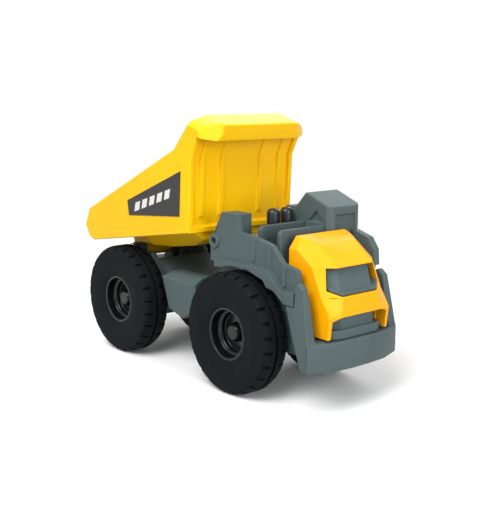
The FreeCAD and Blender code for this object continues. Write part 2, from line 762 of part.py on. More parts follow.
for low, high in sides("deck_half_width - deck_side_wall", "deck_half_width"):
    pad(deck, "side", low, high, side_top + [
        ("deck_rear_x", "eye_z"),
        ("deck_rear_x", "deck_under_z"),
        ("lip_crown_x", "lip_crown_z + 0.6"),
        ("lip_shoulder_x", "lip_shoulder_z + 1"),
        ("lip_shelf_x", "lip_shelf_z + 0.6"),
        ("lip_end_x", "lip_step_z - 1"),
        ("lip_end_x", "side_end_z - 1.6"),
    ])
for low, high in sides("deck_core_half - 1", "deck_half_width"):
    pad(deck, "side", low, high, [
        ("box_rear_x", "deck_floor_z - 1"),
        ("box_front_x", "deck_floor_z - 1"),
        ("box_front_x", "box_rear_z"),
        ("box_rear_x", "box_rear_z"),
    ])
# Fender lips: flared bands that follow the wheel arch
arch_radius = "wheel_radius + arch_gap"
for low, high in sides("deck_half_width - 1", "fender_half_width"):
    pad(deck, "side", low, high, [
        ("lip_tail_x", "lip_tail_z"),
        ("lip_crown_x", "lip_crown_z"),
        ("lip_shoulder_x", "lip_shoulder_z"),
        ("lip_notch_x", "lip_notch_z"),
        ("lip_shelf_x", "lip_shelf_z"),
        ("lip_foot_x", "lip_foot_z"),
        ("lip_end_x", "lip_foot_z"),
        ("lip_end_x", "lip_step_z + 0.2"),
        ("lip_foot_x - 2", "lip_step_z"),
        ("lip_shelf_x + 0.6", "lip_notch_z + 1.6"),
        ("lip_notch_x + 1.2", "lip_top_z - 1"),
        ("lip_shoulder_x", "lip_top_z"),
        ("lip_tail_x", "lip_top_z - 0.4"),
    ])
# Podium: the taller front wall beside the cab, on the left only
pad(deck, "side", "deck_half_width - deck_side_wall", "deck_half_width + panel_rib_depth", [
    ("podium_rear_x", "deck_floor_z - 1"),
    ("lip_end_x + 1", "deck_floor_z - 1"),
    ("podium_front_x", "podium_front_z"),
    ("podium_brow_x", "podium_brow_z"),
    ("podium_rear_x + 5", "podium_top_z"),
    ("podium_rear_x", "podium_top_z"),
])
# Wheel wells, swept clear of the tyres
for low, high in sides("tyre_inner_y - panel_gap * 4", "fender_half_width + 1"):
    cut(deck, "side", low, high, circle=("front_axle_x", "wheel_radius", arch_radius))
# Raised uprights on the side walls
for rib_x, foot_z, head_z in (("side_top_x - 2", "deck_under_z + 3.2", "side_top_z - 0.6"),
                              ("side_bend_x - 1.5", "deck_under_z + 1", "side_bend_z - 0.6"),
                              ("side_low_x + 0.6", "deck_under_z - 3", "side_low_z - 0.8")):
    for low, high in sides("deck_half_width - 0.5", "deck_half_width + panel_rib_depth"):
        pad(deck, "side", low, high,
            box(rib_x, f"{rib_x} + panel_rib_width", foot_z, head_z))
# Lifting eyes at the rear of the side walls
for low, high in sides("deck_half_width - deck_side_wall", "deck_half_width + panel_rib_depth"):
    pad(deck, "side", low, high, circle=("eye_x", "eye_z", "eye_radius"))
    cut(deck, "side", low, f"{high} + 0.2", circle=("eye_x", "eye_z", "eye_hole"))
# Firewall behind the hood and bulkhead behind the engine bay
for wall_x, wall_z in (("firewall_x", "firewall_top_z"), ("bulkhead_x", "bulkhead_top_z")):
    pad(deck, "front", wall_x, f"{wall_x} + firewall_thick", [
        ("-firewall_half", "deck_floor_z - 1"),
        ("cab_inner_y - panel_gap", "deck_floor_z - 1"),
        ("cab_inner_y - panel_gap", wall_z),
        ("-firewall_half + 1.2", wall_z),
        ("-firewall_half", f"{wall_z} - 1.2"),
    ])
# Room for the cab on the left half of the deck
cut(deck, "plan", "deck_floor_z", "cab_ridge_z",
    box("cab_rear_x - panel_gap", "cab_front_foot_x + panel_gap", "cab_inner_y - panel_gap", "cab_outer_y + 1"))

# Operator cab: an offset box on the left of the deck with a sloped roof and sunk windows
cab = new_body("operator_cab")
pad(cab, "side", "cab_inner_y", "cab_outer_y", [
    ("cab_rear_x", "deck_floor_z + seat_gap"),
    ("cab_front_foot_x", "deck_floor_z + seat_gap"),
    ("cab_front_x", "cab_brow_z"),
    ("cab_ridge_x", "cab_ridge_z"),
    ("cab_rear_x", "cab_rear_z"),
])
for edge_y, inward in (("cab_inner_y", 1), ("cab_outer_y", -1)):
    cut(cab, "plan", "deck_floor_z - 1", "cab_ridge_z + 2", [
        ("cab_front_foot_x - cab_corner", f"{edge_y} - {inward} * 0.01"),
        ("cab_front_foot_x + 1", f"{edge_y} - {inward} * 0.01"),
        ("cab_front_foot_x + 1", f"{edge_y} + {inward} * (cab_corner + 1)"),
    ])
cut(cab, "front", "cab_front_x - cab_window_depth", "cab_front_foot_x + 1",
    box("cab_inner_y + cab_window_margin", "cab_outer_y - cab_window_margin",
        "cab_window_low_z", "cab_window_top_z - 1.6"))
for low, high in (("cab_inner_y - 1", "cab_inner_y + cab_window_depth"),
                  ("cab_outer_y - cab_window_depth", "cab_outer_y + 1")):
    cut(cab, "side", low, high, [
        ("cab_ridge_x + 1.5", "firewall_top_z + 0.6"),
        ("cab_front_x - cab_corner - 0.6", "firewall_top_z + 0.6"),
        ("cab_ridge_x + 5.2", "firewall_top_z + 4.4"),
    ])

# Exhaust stacks: two domed cylinders between the bulkhead and the load
for label, sign in (("exhaust_stack_right", -1), ("exhaust_stack_left", 1)):
    stack = new_body(label)
    column = pad(stack, "plan", "0", "stack_top_z - deck_floor_z - seat_gap", circle=("0", "0", "stack_radius"))
    doc.recompute()
    rims = column.Shape.Edges
    top_edge = max(range(len(rims)), key=lambda i: rims[i].CenterOfMass.z)
    dome = stack.newObject("PartDesign::Fillet", "dome")
    dome.Base = (column, [f"Edge{top_edge + 1}"])
    dome.setExpression("Radius", bound("stack_radius * 0.75"))
    place(stack, "stack_x", f"stack_y + {sign} * stack_pitch / 2", "deck_floor_z + seat_gap")

# Levels of the hood from foot to crown: height, front, half of the flat middle, corner bevel
HOOD_LEVELS = {
    "foot": ("hood_foot_z", "hood_foot_x", "hood_foot_flat_half", "hood_foot_bevel"),
    "mouth": ("hood_mouth_z", "hood_mouth_x", "hood_foot_flat_half", "hood_foot_bevel + 0.2"),
    "belt": ("hood_belt_z", "hood_belt_x", "hood_flat_half", "hood_belt_bevel"),
    "brow": ("hood_brow_z", "hood_brow_x", "hood_flat_half", "hood_brow_bevel"),
    "crown": ("hood_crown_z", "hood_crown_x", "hood_flat_half", "hood_crown_bevel"),
}


def hood_section(level, rear_x, inset="0", drop="0"):
    """Plan outline of the hood at one level, drawn in from its outer face."""
    height, front, flat, bevel = HOOD_LEVELS[level]
    half = f"(hood_half_width - ({inset}))"
    outline = [
        (f"{front} - ({inset})", f"{flat} - 0.4 * ({inset})"),
        (f"{front} - {bevel} - ({inset})", half),
        (rear_x, half),
    ]
    points = outline + [(across, f"-({up})") for across, up in reversed(outline)]
    return f"{height} - ({drop})", points


def loft(body, kind, sections):
    """Straight-sided loft through plan outlines at rising heights."""
    sketches = []
    for height, points in sections:
        sketch = sketch_on(body, "XY_Plane", height)
        draw(sketch, points)
        sketches.append(sketch)
    feature = body.newObject(f"PartDesign::{kind}Loft", "loft")
    feature.Profile = sketches[0]
    feature.Sections = sketches[1:]
    feature.Ruled = True
    return feature


# Hood: a bevelled shell with a window for the grille and a mouth for the radiator
hood = new_body("hood")
loft(hood, "Additive", [hood_section(level, "hood_rear_x") for level in HOOD_LEVELS]
     + [("hood_rear_z", [
         ("hood_rear_x + 1.6", "hood_flat_half"),
         ("hood_rear_x + 0.8", "hood_half_width"),
         ("hood_rear_x", "hood_half_width"),
         ("hood_rear_x", "-hood_half_width"),
         ("hood_rear_x + 0.8", "-hood_half_width"),
         ("hood_rear_x + 1.6", "-hood_flat_half"),
     ])])
for sign in (-1, 1):
    cut(hood, "front", "hood_rear_x - 1", "hood_mouth_x + 1", [
        (f"{sign} * (hood_half_width + 0.01)", "hood_rear_z - hood_top_bevel * 1.3"),
        (f"{sign} * (hood_half_width + 0.01)", "hood_rear_z + 1"),
        (f"{sign} * (hood_half_width - hood_top_bevel - 0.6)", "hood_rear_z + 1"),
        (f"{sign} * (hood_half_width - hood_top_bevel)", "hood_rear_z + 0.01"),
    ])
loft(hood, "Subtractive", [
    hood_section("foot", "hood_rear_x - 1", "hood_wall", "1"),
    hood_section("mouth", "hood_rear_x - 1", "hood_wall"),
    hood_section("belt", "hood_rear_x - 1", "hood_wall"),
    hood_section("brow", "hood_rear_x - 1", "hood_wall"),
    hood_section("crown", "hood_rear_x - 1", "hood_wall * 1.9", "hood_wall * 0.7"),
])
cut(hood, "side", "-hood_half_width - 1", "hood_half_width + 1", [
    ("hood_rear_x - 1", "hood_foot_z - 1"),
    ("hood_side_foot_x", "hood_foot_z - 1"),
    ("hood_side_foot_x", "hood_foot_z"),
    ("hood_side_bend_x", "hood_side_bend_z"),
    ("hood_side_bend_x - 4", "hood_side_low_z"),
    ("hood_rear_x - 1", "hood_side_low_z"),
])
cut(hood, "front", "hood_side_bend_x + 1", "hood_mouth_x + 1", mirrored([
    ("window_top_half", "hood_brow_z - 0.3"),
    ("window_low_half", "hood_belt_z + window_sill_rise"),
    ("hood_flat_half", "hood_belt_z"),
]))
cut(hood, "front", "hood_side_foot_x + 2", "hood_mouth_x + 1", mirrored([
    ("mouth_half_width", "hood_foot_z - 1"),
    ("mouth_half_width", "mouth_corner_z"),
    ("hood_foot_flat_half", "hood_mouth_z"),
]))

# Panels behind the hood's openings, with the same corner bevel at every height
def panel_section(height, front_x, rear_x, flat_half, bevel):
    """Plan outline of a panel that sits just inside the hood."""
    half = "hood_half_width - hood_wall - panel_gap"
    return height, mirrored_plan([
        (front_x, flat_half),
        (f"{front_x} - {bevel}", half),
        (rear_x, half),
    ])


grille = new_body("grille_panel")
loft(grille, "Additive", [
    panel_section(height, front_x, "hood_side_bend_x", "grille_flat_half", "hood_brow_bevel")
    for height, front_x in (
        ("hood_belt_z - 3", "hood_belt_x - hood_wall - panel_gap"),
        ("hood_belt_z", "hood_belt_x - hood_wall - panel_gap"),
        ("hood_brow_z", "hood_brow_x - hood_wall - panel_gap"),
        ("hood_brow_z + 0.8", "hood_brow_x - hood_wall - panel_gap - 2.2"),
    )
])
# Ledge along the window's sill, turned up and trimmed back at its ends
ledge_low = "hood_belt_z + panel_gap + seat_gap"
ledge_end_low = f"{ledge_low} + window_sill_rise * 0.8"
pad(grille, "front", "hood_side_bend_x + 2", "ledge_front_x", mirrored([
    ("hood_flat_half", ledge_low),
    ("ledge_half", ledge_end_low),
    ("ledge_half", f"{ledge_end_low} + ledge_thick"),
    ("hood_flat_half", f"{ledge_low} + ledge_thick"),
]))
for sign in (-1, 1):
    cut(grille, "plan", "hood_belt_z - 1", "hood_belt_z + 5", [
        ("ledge_front_x", f"{sign} * (hood_flat_half - 0.4)"),
        ("ledge_front_x - 2.9", f"{sign} * ledge_half"),
        ("ledge_front_x - 2.9", f"{sign} * (ledge_half + 1)"),
        ("ledge_front_x + 1", f"{sign} * (ledge_half + 1)"),
        ("ledge_front_x + 1", f"{sign} * (hood_flat_half - 0.4)"),
    ])

# Radiator panel in the mouth, with a step bar along its foot
radiator = new_body("radiator_panel")
loft(radiator, "Additive", [
    panel_section(height, front_x, "hood_side_foot_x", "grille_flat_half", "hood_belt_bevel")
    for height, front_x in (
        ("bumper_top_z + 0.2", "hood_foot_x - hood_wall - panel_gap"),
        ("hood_mouth_z", "hood_mouth_x - hood_wall - panel_gap"),
        ("hood_mouth_z + 1.6", "hood_mouth_x - hood_wall - panel_gap - 1.2"),
    )
])
pad(radiator, "plan", "bumper_top_z + 0.2", "radiator_bar_z", mirrored_plan([
    ("hood_foot_x - 0.5", "hood_foot_flat_half - 1"),
    ("hood_foot_x - hood_foot_bevel - 0.9", "mouth_half_width - 1.4"),
    ("hood_side_foot_x + 1", "mouth_half_width - 1.4"),
]))

# Front bumper: a bowed bar with a slanted cheek and a post at each end
bumper = new_body("front_bumper")
pad(bumper, "plan", "frame_belly_z", "bumper_top_z", [
    ("bumper_end_x - bumper_thick", "-bumper_half_width"),
    ("bumper_end_x", "-bumper_half_width"),
    ("bumper_front_x - 0.6", "-bumper_flat_half - 4"),
    ("bumper_front_x", "-bumper_flat_half / 2"),
    ("bumper_front_x", "bumper_flat_half / 2"),
    ("bumper_front_x - 0.6", "bumper_flat_half + 4"),
    ("bumper_end_x", "bumper_half_width"),
    ("bumper_end_x - bumper_thick", "bumper_half_width"),
    ("frame_front_x + panel_gap", "frame_half_width + 1"),
    ("frame_front_x + panel_gap", "-frame_half_width - 1"),
])
for low, high in sides("post_top_half - post_thick", "bumper_half_width"):
    pad(bumper, "side", low, high, [
        ("post_foot_x", "frame_belly_z"),
        ("bumper_end_x", "frame_belly_z"),
        ("bumper_end_x - 0.4", "bumper_top_z"),
        ("post_top_x + post_top_width", "post_top_z - 1.6"),
        ("post_top_x + 1.6", "post_top_z"),
        ("lip_end_x + panel_gap", "post_top_z - 0.6"),
        ("lip_end_x + panel_gap", "lip_foot_z - panel_gap"),
        ("post_shelf_x", "lip_foot_z - panel_gap"),
    ])
for sign in (-1, 1):
    cut(bumper, "front", "post_shelf_x - 1", "bumper_front_x + 1", [
        (f"{sign} * (bumper_half_width + 0.01)", "bumper_top_z"),
        (f"{sign} * (bumper_half_width + 1)", "bumper_top_z"),
        (f"{sign} * (bumper_half_width + 1)", "post_top_z + 1"),
        (f"{sign} * post_top_half", "post_top_z + 1"),
    ])
    cut(bumper, "front", "post_shelf_x - 1", "bumper_end_x - bumper_thick", [
        (f"{sign} * (bumper_half_width - post_thick)", "frame_belly_z - 1"),
        (f"{sign} * (post_top_half - post_thick)", "post_top_z + 1"),
        (f"{sign} * (post_top_half - post_thick - 1)", "post_top_z + 1"),
        (f"{sign} * (post_top_half - post_thick - 1)", "frame_belly_z - 1"),
    ])

doc.recompute()
for item in doc.Objects:
    if "Invalid" in item.State or "Error" in item.State:
        raise RuntimeError(f"{item.Name} in {item.getParentGeoFeatureGroup()} failed: {item.State}")
for piece in made:
    if piece.Shape.isNull() or not piece.Shape.isValid():
        raise RuntimeError(f"{piece.Label} has no valid shape")

os.makedirs("parts", exist_ok=True)
for piece in made:
    piece.Shape.exportStep(f"parts/{piece.Label}.step")
    print(piece.Label, len(piece.Shape.Solids), round(piece.Shape.Volume, 1))
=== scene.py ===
import logging
import math
from dataclasses import dataclass, field
from enum import Enum

import bmesh
import bpy
import numpy as np
from mathutils import Matrix, Vector


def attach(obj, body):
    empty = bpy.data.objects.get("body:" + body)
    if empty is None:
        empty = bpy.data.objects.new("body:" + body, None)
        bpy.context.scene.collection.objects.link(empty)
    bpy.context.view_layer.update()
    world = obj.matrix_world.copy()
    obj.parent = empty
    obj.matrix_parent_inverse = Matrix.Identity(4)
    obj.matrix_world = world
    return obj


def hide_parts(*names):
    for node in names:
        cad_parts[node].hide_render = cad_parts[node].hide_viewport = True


# A chunky toy dump truck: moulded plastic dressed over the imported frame, seen in a pale studio.
# Sizes are millimetres in the classes and metres in Blender. +X is the truck's front, +Y its left
# side, +Z up, and z = 0 is the ground.

logging.basicConfig(level=logging.INFO, format="%(message)s")
log = logging.getLogger("toy_dump_truck")

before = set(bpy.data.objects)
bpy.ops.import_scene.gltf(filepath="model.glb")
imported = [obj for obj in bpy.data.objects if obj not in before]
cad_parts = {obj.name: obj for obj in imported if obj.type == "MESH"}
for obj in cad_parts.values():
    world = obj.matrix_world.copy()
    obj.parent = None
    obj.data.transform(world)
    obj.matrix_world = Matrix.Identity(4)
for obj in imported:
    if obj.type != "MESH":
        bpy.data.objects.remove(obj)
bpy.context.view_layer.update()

MM = 0.001

# How a mould's round is fitted beside small faces: the room of a corner with no neighbour, the distance
# at which edges touch, the cosine past which an edge runs on from a corner's own, the ease at an acute
# corner, the share of the room that a round may take, and the least share of a round worth cutting
ENDLESS = 1.0
TOUCHING = 0.002 * MM
LEAST_SQUARE = 1e-18
ALONG_CHAIN = 0.85
ACUTE_EASE = 1.4
SIDE_SHARE = 0.42
LEAST_WEIGHT = 0.04
WEIGHT_LAYER = "bevel_weight_edge"

# How a CAD copy is cleaned and shaded
MERGE_MM = 0.0005
FLAT_DEG = 0.6
SMOOTH_DEG = 32.0

# Bands of the noise that drift, grain and bloom read, since its middle is where it mostly lies
DRIFT_BAND = (0.35, 0.65)
GRAIN_BAND = (0.3, 0.7)
BLOOM_BAND = (0.45, 0.8)
BLOOM_PATCH_MM = 4.0


class Body(Enum):
    """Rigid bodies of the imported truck."""

    TRUCK = "truck"
    FRONT_WHEELS = "front_wheels"
    REAR_WHEELS = "rear_wheels"
    BED = "bed"


class Slot(Enum):
    """Material slots."""

    BED = "bed_yellow"
    HOOD = "hood_orange"
    GREY = "grey_plastic"
    STACK = "stack_dark"
    TYRE = "tyre_black"
    RIM = "rim_black"
    STEEL = "steel"
    DECAL = "decal"


class Side(Enum):
    """The truck's two sides, with the sign of Y on each."""

    RIGHT = -1
    LEFT = 1


def linear(hex_colour: str) -> tuple[float, float, float, float]:
    """Turn an sRGB hex colour into linear light.

    Args:
        hex_colour: six hex digits after a hash sign.

    Returns:
        Red, green, blue and an alpha of 1.
    """
    channels = []
    for start in (1, 3, 5):
        level = int(hex_colour[start:start + 2], 16) / 255
        channels.append(level / 12.92 if level <= 0.04045 else ((level + 0.055) / 1.055) ** 2.4)
    return (channels[0], channels[1], channels[2], 1.0)


def add_node(
    tree: bpy.types.NodeTree,
    kind: str,
    settings: dict | None = None,
    values: dict | None = None,
    links: dict | None = None,
) -> bpy.types.Node:
    """Add one shader node with its settings, socket values and incoming links.

    Args:
        tree: the material's node tree.
        kind: the node's type name.
        settings: properties set on the node itself.
        values: input socket values by name or index.
        links: output sockets to join, by input name or index.

    Returns:
        The new node.
    """
    node = tree.nodes.new(kind)
    for name, setting in (settings or {}).items():
        setattr(node, name, setting)
    for name, number in (values or {}).items():
        node.inputs[name].default_value = number
    for name, source in (links or {}).items():
        tree.links.new(source, node.inputs[name])
    return node


@dataclass(frozen=True)
class Finish:
    """A plain moulded or turned surface.

    The colour drifts a little over a long distance, as pigment does in a moulding, and a fine grain
    breaks up the gloss.
    """

    name: str
    colour: str
    shade: str
    roughness: float
    ior: float = 1.53
    metallic: float = 0.0
    grain_mm: float = 0.35
    grain_height_mm: float = 0.012
    drift_mm: float = 26.0
    roughness_drift: float = 0.05

    def make(self) -> bpy.types.Material:
        """Build the material.

        Returns:
            A material with procedural colour, roughness and grain.
        """
        material = bpy.data.materials.new(self.name)
        material.use_nodes = True
        tree = material.node_tree
        tree.nodes.clear()
        place = add_node(tree, "ShaderNodeTexCoord").outputs["Object"]
        drift = add_node(
            tree, "ShaderNodeTexNoise",
            values={"Scale": 1 / (self.drift_mm * MM), "Detail": 2.0, "Roughness": 0.5},
            links={"Vector": place},
        ).outputs["Fac"]
        grain = add_node(
            tree, "ShaderNodeTexNoise",
            values={"Scale": 1 / (self.grain_mm * MM), "Detail": 3.0, "Roughness": 0.6},
            links={"Vector": place},
        ).outputs["Fac"]
        colour = self.colour_output(tree, place, drift)
        roughness = add_node(
            tree, "ShaderNodeMapRange",
            values={"From Min": GRAIN_BAND[0], "From Max": GRAIN_BAND[1],
                    "To Min": self.roughness - self.roughness_drift,
                    "To Max": self.roughness + self.roughness_drift},
            links={"Value": grain},
        ).outputs["Result"]
        bump = add_node(
            tree, "ShaderNodeBump",
            values={"Strength": 1.0, "Distance": self.grain_height_mm * MM},
            links={"Height": grain},
        ).outputs["Normal"]
        shader = add_node(
            tree, "ShaderNodeBsdfPrincipled",
            values={"Metallic": self.metallic, "IOR": self.ior},
            links={"Base Color": colour, "Roughness": roughness, "Normal": bump},
        )
        add_node(tree, "ShaderNodeOutputMaterial", links={"Surface": shader.outputs["BSDF"]})
        return material

    def colour_output(
        self, tree: bpy.types.NodeTree, place: bpy.types.NodeSocket, drift: bpy.types.NodeSocket
    ) -> bpy.types.NodeSocket:
        """Colour that drifts between the finish's two tones.

        Args:
            tree: the material's node tree.
            place: object coordinates, not used here.
            drift: slow noise.

        Returns:
            The colour socket.
        """
        amount = add_node(
            tree, "ShaderNodeMapRange",
            values={"From Min": DRIFT_BAND[0], "From Max": DRIFT_BAND[1]},
            links={"Value": drift},
        ).outputs["Result"]
        mix = add_node(
            tree, "ShaderNodeMix", settings={"data_type": "RGBA"},
            values={6: linear(self.colour), 7: linear(self.shade)}, links={0: amount},
        )
        return mix.outputs[2]


@dataclass(frozen=True)
class DustyFinish(Finish):
    """A moulded surface that carries a slightly paler bloom in noise patches, as soft black plastic does."""

    bloom: str = "#4A4E50"
    bloom_share: float = 0.35

    def colour_output(
        self, tree: bpy.types.NodeTree, place: bpy.types.NodeSocket, drift: bpy.types.NodeSocket
    ) -> bpy.types.NodeSocket:
        """Colour with the bloom mixed in by noise.

        Args:
            tree: the material's node tree.
            place: object coordinates.
            drift: slow noise.

        Returns:
            The colour socket.
        """
        plain = super().colour_output(tree, place, drift)
        patches = add_node(
            tree, "ShaderNodeTexNoise",
            values={"Scale": 1 / (BLOOM_PATCH_MM * MM), "Detail": 4.0, "Roughness": 0.65},
            links={"Vector": place},
        ).outputs["Fac"]
        amount = add_node(
            tree, "ShaderNodeMapRange",
            values={"From Min": BLOOM_BAND[0], "From Max": BLOOM_BAND[1], "To Min": 0.0,
                    "To Max": self.bloom_share},
            links={"Value": patches},
        ).outputs["Result"]
        mix = add_node(
            tree, "ShaderNodeMix", settings={"data_type": "RGBA"}, values={7: linear(self.bloom)},
            links={0: amount, 6: plain},
        )
        return mix.outputs[2]


FINISHES: dict[Slot, Finish] = {
    # Polished ABS, yellow through and through: a broad soft gloss
    Slot.BED: Finish("gloss_yellow_abs", "#FFC902", "#FDC301", roughness=0.40, ior=1.32, grain_mm=0.8,
                     grain_height_mm=0.006),
    # The same moulding in a warmer pigment
    Slot.HOOD: Finish("gloss_orange_abs", "#FFB002", "#FDA901", roughness=0.38, ior=1.32, grain_mm=0.8,
                      grain_height_mm=0.006),
    # Spark-eroded mould texture: a satin slate grey with a fine tooth
    Slot.GREY: Finish("satin_slate_abs", "#4C5B5C", "#475556", roughness=0.55, ior=1.38, grain_mm=0.45,
                      grain_height_mm=0.014),
    # Smooth dark pipe plastic
    Slot.STACK: Finish("gloss_dark_abs", "#20282B", "#1B2225", roughness=0.25, ior=1.42, grain_mm=0.8,
                       grain_height_mm=0.004),
    # Soft PVC, matt, with a faint bloom
    Slot.TYRE: DustyFinish("matt_black_pvc", "#101415", "#0D1011", roughness=0.75, ior=1.2, grain_mm=0.5,
                           grain_height_mm=0.02, bloom="#1D2122", bloom_share=0.3),
    # Polished polystyrene rim
    Slot.RIM: Finish("gloss_black_styrene", "#0C0F11", "#0A0D0E", roughness=0.2, ior=1.36, grain_mm=0.8,
                     grain_height_mm=0.003),
    # Drawn steel wire and screws
    Slot.STEEL: Finish("drawn_steel", "#A7A9AC", "#97999C", roughness=0.32, metallic=1.0, ior=1.5,
                       grain_mm=0.3, grain_height_mm=0.004),
    # Printed vinyl film
    Slot.DECAL: Finish("charcoal_vinyl", "#2C2C2B", "#282827", roughness=0.4, ior=1.4, grain_mm=0.5,
                       grain_height_mm=0.003),
}
WHITE_PRINT = Finish("white_print", "#E6E4DD", "#E0DED7", roughness=0.45, ior=1.45, grain_mm=0.5,
                     grain_height_mm=0.003)


def deselect() -> None:
    """Leave edit mode with nothing selected."""
    if bpy.context.object and bpy.context.object.mode != "OBJECT":
        bpy.ops.object.mode_set(mode="OBJECT")
    bpy.ops.object.select_all(action="DESELECT")


def pick(piece: bpy.types.Object) -> None:
    """Select one object and make it active.

    Args:
        piece: the object to select.
    """
    deselect()
    piece.select_set(True)
    bpy.context.view_layer.objects.active = piece


def edit(piece: bpy.types.Object, select: str = "DESELECT") -> None:
    """Open a piece in edit mode with all of it selected or none of it.

    Args:
        piece: the mesh to edit.
        select: SELECT for all of it, DESELECT for none.
    """
    pick(piece)
    bpy.ops.object.mode_set(mode="EDIT")
    bpy.ops.mesh.select_all(action=select)


def settle(piece: bpy.types.Object) -> None:
    """Put a piece's place, turn and scale into its mesh.

    Args:
        piece: the object to settle.
    """
    pick(piece)
    bpy.ops.object.transform_apply(location=True, rotation=True, scale=True)


def room_at_corners(
    corners: np.ndarray, along: list[list[np.ndarray]], starts: np.ndarray, ends: np.ndarray
) -> np.ndarray:
    """Distance from each corner to the nearest sharp edge that its own edges don't run into.

    Args:
        corners: places of the corners, one row each.
        along: for each corner, the unit directions of its own sharp edges.
        starts: first ends of all sharp edges.
        ends: second ends of all sharp edges.

    Returns:
        One distance for each corner.
    """
    runs = ends - starts
    squares = np.maximum((runs * runs).sum(axis=1), LEAST_SQUARE)
    room = np.full(len(corners), ENDLESS)
    for number, corner in enumerate(corners):
        share = np.clip(((corner - starts) * runs).sum(axis=1) / squares, 0.0, 1.0)
        offset = starts + runs * share[:, None] - corner
        distance = np.sqrt((offset * offset).sum(axis=1))
        clear = distance > TOUCHING
        for direction in along[number]:
            clear &= (offset @ direction) < ALONG_CHAIN * np.maximum(distance, TOUCHING)
        if clear.any():
            room[number] = distance[clear].min()
    return room


def weigh_edges(piece: bpy.types.Object, width: float, sharp_deg: float) -> None:
    """Store on each sharp edge the share of the full round that fits beside it.

    Args:
        piece: the mesh to weigh.
        width: the full round in metres.
        sharp_deg: edges that turn by more than this are sharp.
    """
    mesh = bmesh.new()
    mesh.from_mesh(piece.data)
    floats = mesh.edges.layers.float
    layer = floats.get(WEIGHT_LAYER) or floats.new(WEIGHT_LAYER)
    limit = math.radians(sharp_deg)
    sharp = [
        edge for edge in mesh.edges
        if len(edge.link_faces) == 2 and edge.calc_face_angle(0.0) > limit
    ]
    meeting: dict[bmesh.types.BMVert, list[bmesh.types.BMEdge]] = {}
    for edge in sharp:
        for corner in edge.verts:
            meeting.setdefault(corner, []).append(edge)
    along = [
        [np.array((edge.other_vert(corner).co - corner.co).normalized()) for edge in edges]
        for corner, edges in meeting.items()
    ]
    places = np.array([corner.co for corner in meeting])
    starts = np.array([edge.verts[0].co for edge in sharp])
    ends = np.array([edge.verts[1].co for edge in sharp])
    room = room_at_corners(places, along, starts, ends)
    share = {}
    for number, corner in enumerate(meeting):
        least = 1.0
        for first, one in enumerate(along[number]):
            for other in along[number][first + 1:]:
                least = min(least, ACUTE_EASE * math.sqrt(max(0.0, (1 - float(one @ other)) / 2)))
        share[corner] = min(1.0, SIDE_SHARE * room[number] * least / width)
    for edge in sharp:
        weight = min(share[corner] for corner in edge.verts)
        edge[layer] = weight if weight > LEAST_WEIGHT else 0.0
    mesh.to_mesh(piece.data)
    mesh.free()


def round_edges(piece: bpy.types.Object, width_mm: float, segments: int = 3, sharp_deg: float = 28.0) -> None:
    """Round a piece's sharp edges as a mould does, and smooth its shading.

    Args:
        piece: the mesh to round.
        width_mm: how far the round reaches on each face where there is room.
        segments: steps across the round.
        sharp_deg: edges that turn by more than this are rounded.
    """
    weigh_edges(piece, width_mm * MM, sharp_deg)
    pick(piece)
    bevel = piece.modifiers.new("mould_round", "BEVEL")
    bevel.width = width_mm * MM
    bevel.segments = segments
    bevel.limit_method = "WEIGHT"
    bevel.use_clamp_overlap = False
    bevel.loop_slide = False
    bpy.ops.object.modifier_apply(modifier=bevel.name)
    bpy.ops.object.shade_smooth_by_angle(angle=math.radians(SMOOTH_DEG))
    even = piece.modifiers.new("flat_faces_stay_flat", "WEIGHTED_NORMAL")
    even.mode = "FACE_AREA"
    even.keep_sharp = True
    bpy.ops.object.modifier_apply(modifier=even.name)


def merged_copy(node: str, name: str, merge_mm: float) -> bpy.types.Object:
    """Copy a CAD node's mesh into a new object and make whole faces of its loose triangles.

    Args:
        node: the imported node's name.
        name: the new piece's name.
        merge_mm: corners nearer than this become one.

    Returns:
        The copy, at the origin, with its doubles merged and each flat face in few triangles.
    """
    piece = bpy.data.objects.new(name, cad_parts[node].data.copy())
    bpy.context.scene.collection.objects.link(piece)
    piece.data.materials.clear()
    edit(piece, "SELECT")
    bpy.ops.mesh.remove_doubles(threshold=merge_mm * MM)
    bpy.ops.mesh.dissolve_degenerate(threshold=merge_mm * MM)
    bpy.ops.mesh.dissolve_limited(angle_limit=math.radians(FLAT_DEG))
    bpy.ops.mesh.quads_convert_to_tris(quad_method="BEAUTY", ngon_method="BEAUTY")
    bpy.ops.object.mode_set(mode="OBJECT")
    piece.data.validate()
    return piece


def dress(piece: bpy.types.Object, body: Body, slot: Slot, materials: dict[Slot, bpy.types.Material]) -> None:
    """Give a finished piece the material of its slot and the body that it rides on.

    Args:
        piece: the finished mesh.
        body: the CAD body that it moves with.
        slot: the slot that it takes its finish from.
        materials: the materials made so far, by slot.
    """
    piece.data.materials.clear()
    piece.data.materials.append(materials[slot])
    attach(piece, body.value)
    log.info("%s: %d faces on %s", piece.name, len(piece.data.polygons), body.value)


@dataclass
class MouldedPart:
    """One CAD node dressed as a moulding with rounded edges."""

    node: str
    body: Body
    slot: Slot
    round_mm: float
    segments: int = 3
    sharp_deg: float = 28.0
    merge_mm: float = MERGE_MM

    def build(self, materials: dict[Slot, bpy.types.Material]) -> bpy.types.Object:
        """Copy the node, round its edges and let the copy stand for it.

        Args:
            materials: the materials by slot.

        Returns:
            The finished piece.
        """
        piece = merged_copy(self.node, f"{self.node}_skin", self.merge_mm)
        round_edges(piece, self.round_mm, self.segments, self.sharp_deg)
        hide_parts(self.node)
        dress(piece, self.body, self.slot, materials)
        return piece


